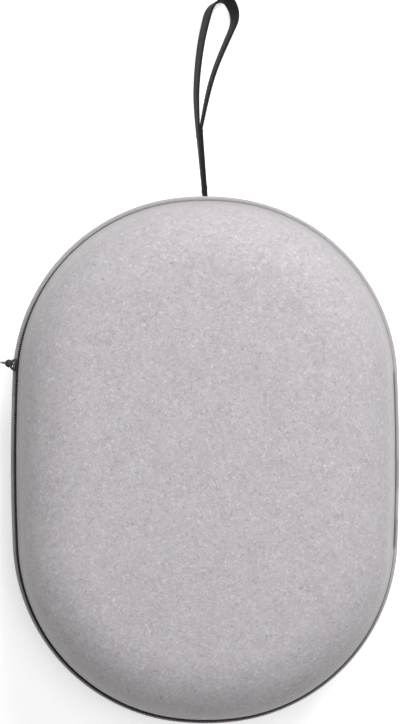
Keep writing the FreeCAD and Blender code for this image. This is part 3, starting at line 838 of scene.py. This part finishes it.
lid_crown = 3.0 * mm
lid_drift = 0.45 * mm
lid_felt = moulded_half("lid_felt", lid_rim, case_top, lid_roll, 0.0, sizes["felt"], lid_crown)
for vertex in lid_felt.data.vertices:
    vertex.co.x += lid_drift
dress(lid_felt, felt, "lid", "felt", "lid_cover")
base_felt = moulded_half("base_felt", base_rim, 0.0, base_roll, 0.0, sizes["felt"], 0.0)
dress(base_felt, felt, "base", "felt", "base_cover")
lid_knit = moulded_half("lid_lining_knit", lid_rim, case_top, lid_roll, sizes["lining_start"],
                        sizes["lining"], 0.0)
dress(lid_knit, lining_knit, "lid", "lining", "lid_lining")
base_knit = moulded_half("base_lining_knit", base_rim, 0.0, base_roll, sizes["lining_start"],
                         sizes["lining"], 0.0)
dress(base_knit, lining_knit, "base", "lining", "base_lining")


# %% [markdown]
# ## Foam boards
# The boards between felt and lining show only at the rims, as a thin dark edge. Their CAD solids are
# right as they are, so they only get the look of closed-cell foam.

# %% Give the boards their finish
def finish_node(name, material):
    node = frame["nodes"][name]
    node.data.materials.clear()
    node.data.materials.append(material)
    for face in node.data.polygons:
        face.material_index = 0
    print("node", name, "gets", material.name)


for name in ("lid_shell", "base_shell"):
    finish_node(name, board_foam)
finish_node("zip_end_stops", enamel)

# %% [markdown]
# ## Piping, bindings and zip tape
# Round the base rim runs a bead of twill over a cord: half round outside, flat where it is sewn on.
# The raw inner edges are bound with black tape. The zip tape stands between the rims and is broken
# along the hinge. All are closed profiles spun round the outline.

# %% Closed profiles
def rounded_profile(low_inset, high_inset, low, high, radius, steps=4):
    """Rectangle between two insets and two levels with rounded corners."""
    points = []
    for inset, level, turn in ((low_inset + radius, high - radius, 90),
                               (low_inset + radius, low + radius, 180),
                               (high_inset - radius, low + radius, 270),
                               (high_inset - radius, high - radius, 0)):
        for step in range(steps + 1):
            angle = math.radians(turn + 90 * step / steps)
            points.append((inset + radius * math.cos(angle), level + radius * math.sin(angle)))
    return points


def banded(name, node, low_inset, high_inset, radius, start=0.0, end=None, low=None, high=None):
    """Band with rounded edges, as high as the node that it stands for."""
    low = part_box(node)[0].z if low is None else low
    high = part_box(node)[1].z if high is None else high
    profile = rounded_profile(low_inset, high_inset, low, high, radius)
    piece = spin_round(name, profile, closed=True, start=start, end=end)
    map_cloth(piece, profile, closed=True)
    return piece


piping = banded("piping_roll", "base_piping", 0.0, 2.85 * mm, 1.38 * mm)
dress(piping, piping_twill, "base", "twill_piping", "base_piping", smooth=60)
binding_outer = 9.87 * mm
for name, node, body in (("base_edge_binding", "base_binding", "base"),
                         ("lid_edge_binding", "lid_binding", "lid")):
    binding = banded(name, node, binding_outer, binding_outer + 0.8 * mm, 0.35 * mm)
    dress(binding, black_binding, body, "binding_tape", node, smooth=60)

# %% Zip tapes, open along the hinge
hinge_half = 48 * mm
tape_outer = 3.6 * mm
tape_inner = 4.1 * mm


def place_at(y, inset, hinge_side=True):
    """Length along the outline where the band at this inset crosses a level of y."""
    low, high = (0.0, outline_length / 4) if hinge_side else (outline_length / 4, outline_length / 2)
    for _ in range(40):
        half = (low + high) / 2
        above = outline_point(half, inset, 0).y > y
        if above == hinge_side:
            high = half
        else:
            low = half
    return (low + high) / 2


zip_start = place_at(hinge_half, tape_outer)
zip_end = outline_length - zip_start
for name, node, body in (("base_tape", "base_zip_tape", "base"), ("lid_tape", "lid_zip_tape", "lid")):
    tape = banded(name, node, tape_outer, tape_inner, 0.15 * mm, start=zip_start, end=zip_end)
    dress(tape, zip_cloth, body, "zip_fabric", node, smooth=60)
print("zip runs", round(zip_end - zip_start, 3), "m")

# %% [markdown]
# ## Zip teeth
# A coil zip is one nylon thread wound into hundreds of small loops. From outside each loop is a
# short slanted rib. One rib is a cube with rounded edges. An Array modifier repeats it at the coil's
# pitch, and a Curve modifier bends the row round the outline. Sewing is never exact: the coil stands
# a little proud along the near end and lies deeper at the strap's end.

# %% Model one rib and repeat it
coil_pitch = 1.25 * mm
coil_inset = 2.72 * mm
coil_drift = Vector((-0.05 * mm, -0.68 * mm, 0))


def outline_curve(name, inset, level, start, end, count=420):
    curve = bpy.data.curves.new(name, "CURVE")
    curve.dimensions = "3D"
    spline = curve.splines.new("POLY")
    spline.points.add(count - 1)
    for index, point in enumerate(spline.points):
        place = start + (end - start) * index / (count - 1)
        point.co = (*(outline_point(place, inset, level) + coil_drift), 1.0)
    path = bpy.data.objects.new(name, curve)
    bpy.context.scene.collection.objects.link(path)
    return path, sum((Vector(b.co[:3]) - Vector(a.co[:3])).length
                     for a, b in zip(spline.points, spline.points[1:]))


def zip_coil(name, node, body, slant):
    low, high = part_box(node)[0].z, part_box(node)[1].z
    path, length = outline_curve(name + "_path", coil_inset, (low + high) / 2, zip_start + 0.3 * mm,
                                 zip_end - 0.3 * mm)
    start_clean()
    bpy.ops.mesh.primitive_cube_add(size=1.0, location=(coil_pitch / 2, 0, 0),
                                    scale=(0.74 * mm, 1.3 * mm, high - low))
    rib = name_new(name)
    bpy.ops.object.transform_apply(location=True, rotation=True, scale=True)
    bpy.ops.object.mode_set(mode="EDIT")
    bpy.ops.mesh.select_all(action="SELECT")
    bpy.ops.mesh.bevel(offset=0.3 * mm, segments=2, affect="EDGES")
    bpy.ops.transform.rotate(value=slant, orient_axis="Y", center_override=(coil_pitch / 2, 0, 0))
    bpy.ops.object.mode_set(mode="OBJECT")
    row = rib.modifiers.new("row", "ARRAY")
    row.use_relative_offset = False
    row.use_constant_offset = True
    row.constant_offset_displace = (coil_pitch, 0, 0)
    row.count = int(length / coil_pitch)
    bend = rib.modifiers.new("bend", "CURVE")
    bend.object = path
    bend.deform_axis = "POS_X"
    apply_modifiers(rib)
    bpy.data.objects.remove(path)
    return dress(rib, coil_nylon, body, "zip_coil", node, smooth=50)


zip_coil("base_coil_ribs", "base_zip_coil", "base", math.radians(14))
zip_coil("lid_coil_ribs", "lid_zip_coil", "lid", math.radians(-14))

# %% [markdown]
# ## The fabric hinge
# A grey woven strip joins the halves along one long side. In use it bends with the lid, so it is given
# enough rows of faces to curve.

# %% Make the hinge strip
web_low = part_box("hinge_web")[0].z
web_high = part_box("hinge_web")[1].z
web_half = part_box("hinge_web")[1].y
web_inset = 1.9 * mm
web_thick = 0.7 * mm
web_place = place_at(web_half, web_inset)
rows = 14
web_profile = [(web_inset, web_high - (web_high - web_low) * i / rows) for i in range(rows + 1)]
web_profile += [(web_inset + web_thick, web_low + (web_high - web_low) * i / rows) for i in range(rows + 1)]
hinge_strip = spin_round("hinge_strip", web_profile, closed=True, start=outline_length - web_place,
                         end=outline_length + web_place)
map_cloth(hinge_strip, web_profile, closed=True)
hinge_strip.data.materials.append(hinge_cloth)
activate(hinge_strip)
bpy.ops.object.shade_smooth_by_angle(angle=math.radians(50))
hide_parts("hinge_web")
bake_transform(hinge_strip)
print("hinge strip faces", len(hinge_strip.data.polygons))

# %% [markdown]
# ## Foam nest
# The nest is moulded foam under brushed knit, so every edge is soft. A copy of its solid is welded,
# rebuilt as an even grid of small faces, and smoothed until the edges roll.

# %% Soften the nest
def copy_of_node(name, node):
    source = frame["nodes"][node]
    piece = bpy.data.objects.new(name, source.data.copy())
    bpy.context.scene.collection.objects.link(piece)
    activate(piece)
    bpy.ops.object.mode_set(mode="EDIT")
    bpy.ops.mesh.select_all(action="SELECT")
    bpy.ops.mesh.remove_doubles(threshold=0.005 * mm)
    bpy.ops.object.mode_set(mode="OBJECT")
    return piece


nest_nodes = ("nest_base", "nest_ring", "nest_island")
nest_copies = [copy_of_node(name + "_copy", name) for name in nest_nodes]
start_clean()
for piece in nest_copies:
    piece.select_set(True)
bpy.context.view_layer.objects.active = nest_copies[0]
bpy.ops.object.join()
nest = name_new("foam_nest")
grid = nest.modifiers.new("grid", "REMESH")
grid.mode = "VOXEL"
grid.voxel_size = 2.0 * mm
soften = nest.modifiers.new("soften", "SMOOTH")
soften.factor = 0.6
soften.iterations = 7
apply_modifiers(nest)
dress(nest, nest_knit, "base", "nest_foam", *nest_nodes, smooth=80)

# %% [markdown]
# ## Lid pocket
# A panel of knitted mesh is stretched across the lid and bound round its edge, with an elastic at
# its mouth. The panel is spun flat from the binding inwards, then cut off at the mouth by a bisect.

# %% Mesh panel
pocket_low, pocket_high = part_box("mesh_pocket")
mouth = pocket_high.y
panel_level = (pocket_low.z + pocket_high.z) / 2
panel_inset = half_width - pocket_high.x
panel_profile = [(panel_inset + (middle_inset - panel_inset) * i / 14, panel_level + 0.0005 * mm * i)
                 for i in range(15)]
panel = spin_round("pocket_panel", panel_profile, fill_middle=True)
bpy.ops.object.mode_set(mode="EDIT")
bpy.ops.mesh.select_all(action="SELECT")
bpy.ops.mesh.bisect(plane_co=(0, mouth, 0), plane_no=(0, 1, 0), clear_outer=True, use_fill=False)
bpy.ops.object.mode_set(mode="OBJECT")
knit = panel.modifiers.new("knit", "SOLIDIFY")
knit.thickness = 0.5 * mm
knit.offset = 0.0
apply_modifiers(panel)
dress(panel, pocket_mesh, "lid", "mesh", "mesh_pocket")

# %% Binding round the panel, and the elastic
elastic_low, elastic_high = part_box("pocket_elastic")
trim_inner = panel_inset - 0.1 * mm
trim_outer = trim_inner - 2.2 * mm
left_end = place_at(elastic_high.y, (trim_inner + trim_outer) / 2, hinge_side=False)
right_end = outline_length + place_at(elastic_high.y, (trim_inner + trim_outer) / 2)
trim = banded("pocket_trim", "pocket_binding", trim_outer, trim_inner, 0.7 * mm, start=left_end,
              end=right_end)
dress(trim, black_binding, "lid", "binding_tape", "pocket_binding", smooth=60)


def rounded_block(name, low, high, radius, segments=3):
    """Cube at its size and place, with rounded edges."""
    low, high = Vector(low), Vector(high)
    start_clean()
    bpy.ops.mesh.primitive_cube_add(size=1.0, location=(low + high) / 2, scale=high - low)
    piece = name_new(name)
    bpy.ops.object.transform_apply(location=True, rotation=True, scale=True)
    bpy.ops.object.mode_set(mode="EDIT")
    bpy.ops.mesh.select_all(action="SELECT")
    bpy.ops.mesh.bevel(offset=radius, segments=segments, affect="EDGES")
    bpy.ops.object.mode_set(mode="OBJECT")
    return piece


def map_box(piece, along="x", across="y"):
    """UV map in metres from two of the row's axes."""
    uv = piece.data.uv_layers.new(name="cloth")
    for loop in piece.data.loops:
        place = piece.data.vertices[loop.vertex_index].co
        uv.data[loop.index].uv = (getattr(place, along), getattr(place, across))


elastic = rounded_block("pocket_mouth_elastic", elastic_low, elastic_high, 0.6 * mm)
map_box(elastic)
dress(elastic, elastic_cloth, "lid", "elastic", "pocket_elastic")

# %% [markdown]
# ## Zip slider
# The slider is die-cast and enamelled black: an outer plate that shows, a thin plate behind the
# tape, a divider between them and a bridge that holds the pull. It is modelled about the middle of
# the shoulder arc, with the case to its right, and then turned to where it is parked. The bridge's
# two legs lean together towards the bar that carries the pull.

# %% Where the slider is parked
swing = [joint for joint in frame["joints"] if joint["name"] == "pull_swing"][0]
park_turn = math.atan2(swing["axis"][0], swing["axis"][1])
arc_middle = Vector(slider_turn["pos_m"])
seam_level = arc_middle.z
to_parked = Matrix.Translation((arc_middle.x, arc_middle.y, 0)) @ Matrix.Rotation(-park_turn, 4, "Z")


def out(reach):
    """Place along the arc's own radius, reach outside the outline."""
    return -(shoulder_radius + reach)


def park(piece):
    piece.matrix_world = to_parked
    activate(piece)
    bpy.ops.object.transform_apply(location=True, rotation=True, scale=True)
    return piece


def join(name, pieces):
    start_clean()
    for piece in pieces:
        piece.select_set(True)
    bpy.context.view_layer.objects.active = pieces[0]
    bpy.ops.object.join()
    return name_new(name)


# %% Plates and divider
plate_out, plate_in = -0.45 * mm, -1.65 * mm
back_out, back_in = -4.35 * mm, -5.1 * mm
half_slider = 3.3 * mm


def plate(name, outer, inner, half_height, nose):
    """Plate with its far end drawn in, like the narrow end of a slider."""
    piece = rounded_block(name, (out(outer), -half_slider, seam_level - half_height),
                          (out(inner), half_slider, seam_level + half_height), 0.32 * mm)
    bpy.ops.object.mode_set(mode="EDIT")
    shape = bmesh.from_edit_mesh(piece.data)
    for vertex in shape.verts:
        vertex.select = vertex.co.y < -half_slider + 0.9 * mm
    shape.select_flush(True)
    bmesh.update_edit_mesh(piece.data)
    bpy.ops.transform.resize(value=(1, 1, nose), center_override=(out(outer), 0, seam_level))
    bpy.ops.object.mode_set(mode="OBJECT")
    return piece


slider_shell = join("slider_shell", [
    plate("outer_plate", plate_out, plate_in, 2.95 * mm, 0.72),
    plate("inner_plate", back_out, back_in, 2.35 * mm, 0.72),
    rounded_block("divider", (out(plate_in), -3.2 * mm, seam_level - 0.17 * mm),
                  (out(back_out), 0.1 * mm, seam_level + 0.17 * mm), 0.06 * mm),
])
dress(park(slider_shell), enamel, "slider", "zip_metal", "slider_body", smooth=50)


# %% Bridge, as a bent rod whose legs lean together
def rod(name, route, thickness, closed=False):
    """Round rod along a NURBS line."""
    curve = bpy.data.curves.new(name, "CURVE")
    curve.dimensions = "3D"
    curve.bevel_depth = thickness / 2
    curve.bevel_resolution = 4
    curve.resolution_u = 8
    curve.use_fill_caps = not closed
    spline = curve.splines.new("NURBS")
    spline.points.add(len(route) - 1)
    for point, place in zip(spline.points, route):
        point.co = (*place, 1.0)
    spline.use_cyclic_u = closed
    spline.use_endpoint_u = not closed
    spline.order_u = 3
    piece = bpy.data.objects.new(name, curve)
    bpy.context.scene.collection.objects.link(piece)
    activate(piece)
    bpy.ops.object.convert(target="MESH")
    return name_new(name)


bar_reach = 1.05 * mm
bridge_rod = 1.4 * mm
foot = plate_out - 0.3 * mm
bridge_route = [(out(foot), -2.6 * mm, seam_level), (out(0.1 * mm), -2.1 * mm, seam_level),
                (out(bar_reach), -0.9 * mm, seam_level), (out(bar_reach + 0.1 * mm), 0, seam_level),
                (out(bar_reach), 0.9 * mm, seam_level), (out(0.1 * mm), 2.1 * mm, seam_level),
                (out(foot), 2.6 * mm, seam_level)]
bridge = rod("slider_arch", bridge_route, bridge_rod)
dress(park(bridge), enamel, "slider", "zip_metal", "slider_bridge", smooth=60)

# %% [markdown]
# ## Zip pull
# A short loop of cord goes round the bridge, and its ends are moulded into a rubber pull with a
# round knob at the top and a thin grip below it with ribs for the fingers.

# %% Cord loop
hang = math.radians(60)
pull_along = Vector((-math.cos(hang), 0, -math.sin(hang)))
pull_across = Vector((-pull_along.z, 0, pull_along.x))
bar_centre = Vector((out(bar_reach), 0, seam_level))


def pull_point(along, across):
    return bar_centre + pull_along * along + pull_across * across


loop_reach = 0.9 * mm
cord_route = [pull_point(2.2 * mm, loop_reach), pull_point(0.6 * mm, loop_reach),
              pull_point(-0.75 * mm, 1.05 * mm), pull_point(-1.25 * mm, 0),
              pull_point(-0.75 * mm, -1.05 * mm),
              pull_point(0.6 * mm, -loop_reach), pull_point(2.2 * mm, -loop_reach)]
cord = rod("pull_cord_loop", cord_route, 0.7 * mm)
dress(park(cord), thread_black, "pull", "pull_cord", "pull_loop", smooth=60)

# %% Knob and grip
knob_radius = 2.15 * mm
knob_sway = Vector((0, 0.45 * mm, 0))
knob_centre = pull_point(2.35 * mm, 0) + knob_sway
start_clean()
bpy.ops.mesh.primitive_uv_sphere_add(segments=32, ring_count=16, radius=knob_radius, location=knob_centre)
knob = name_new("knob")
bpy.ops.object.transform_apply(location=True, rotation=True, scale=True)
grip_length = 24 * mm
grip_width = 6 * mm
lean = math.radians(10)
grip_down = Vector((-math.sin(lean), 0, -math.cos(lean)))
grip_side = Vector((-grip_down.z, 0, grip_down.x))
start_clean()
bpy.ops.mesh.primitive_grid_add(x_subdivisions=6, y_subdivisions=16, size=1.0)
grip = name_new("grip")
for vertex in grip.data.vertices:
    share = vertex.co.y + 0.5
    width = grip_width * (0.42 + 0.58 * min(share / 0.3, 1.0) ** 0.8)
    if share > 0.85:
        width *= math.sqrt(max(1 - ((share - 0.85) / 0.16) ** 2, 0.06))
    place = knob_centre + grip_down * (share * grip_length) + grip_side * (vertex.co.x * width)
    vertex.co = place
thick = grip.modifiers.new("thick", "SOLIDIFY")
thick.thickness = 0.8 * mm
thick.offset = 0.0
soft = grip.modifiers.new("soft", "BEVEL")
soft.width = 0.25 * mm
soft.segments = 3
soft.limit_method = "ANGLE"
apply_modifiers(grip)
ribs = []
for index in range(6):
    centre = knob_centre + grip_down * (9 * mm + index * 1.9 * mm)
    half = 0.34 * grip_width
    ribs.append(rod("grip_rib_%d" % index, [centre - grip_side * half, centre, centre + grip_side * half],
                    1.25 * mm))
pull = join("moulded_pull", [grip, knob] + ribs)
dress(park(pull), pull_rubber, "pull", "pull_rubber", "pull_tab", smooth=50)

# %% [markdown]
# ## Sewn stem and anchor
# Two layers of the webbing are sewn face to face for the first stretch, and their end is held by a
# small stitched block of folded webbing, tucked in under the piping. The stem turns a little on the
# way out, to meet the loop's own roll.

# %% Stem of two layers with bar tacks
stem_start = Vector((0.1 * mm, 138.9 * mm, 46.4 * mm))
stem_end = Vector((-3.1 * mm, 177.2 * mm, 32.05 * mm))
stem_along = (stem_end - stem_start).normalized()


def stem_layer(name, offset):
    points = []
    for i in range(13):
        side = strap_axis.cross(rolled(root_roll * i / 12)).normalized()
        points.append(stem_start.lerp(stem_end, i / 12) + side * offset)
    return band_mesh(name, points, webbing_width, 1.28 * mm,
                     lambda index, point: rolled(root_roll * index / 12))


def stitch_bar(place, up, side, turn=0.5):
    """One stitch: a short slanted thread that lies on the webbing's face."""
    half = 0.9 * mm
    along = stem_along * math.sin(turn) + up * math.cos(turn)
    return rod("stitch", [place - along * half, place + side * 0.12 * mm, place + along * half], 0.32 * mm)


stem = join("sewn_stem", [stem_layer("stem_left", 0.67 * mm), stem_layer("stem_right", -0.67 * mm)])
dress(stem, black_webbing, "base", "webbing", "strap_stem", smooth=50)
stitches = []
for end_share in (0.12, 0.93):
    up = rolled(root_roll * end_share)
    for row in range(-2, 3):
        for sign in (-1, 1):
            side = strap_axis.cross(up).normalized() * sign
            place = stem_start.lerp(stem_end, end_share) + up * row * 1.5 * mm + side * 1.36 * mm
            stitches.append(stitch_bar(place, up, side))
tacks = join("stem_bar_tacks", stitches)
dress(tacks, thread_black, "base", "webbing")
wrist_loop.data.materials.append(black_webbing)

# %% Anchor block
anchor_low, anchor_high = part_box("strap_anchor")
anchor_face = half_length - 0.3 * mm
anchor = rounded_block("folded_anchor", (anchor_low.x, anchor_low.y + 1.6 * mm, anchor_low.z),
                       (anchor_high.x, anchor_face, anchor_high.z), 1.1 * mm)
map_box(anchor, "x", "z")
dress(anchor, black_webbing, "base", "webbing", "strap_anchor")
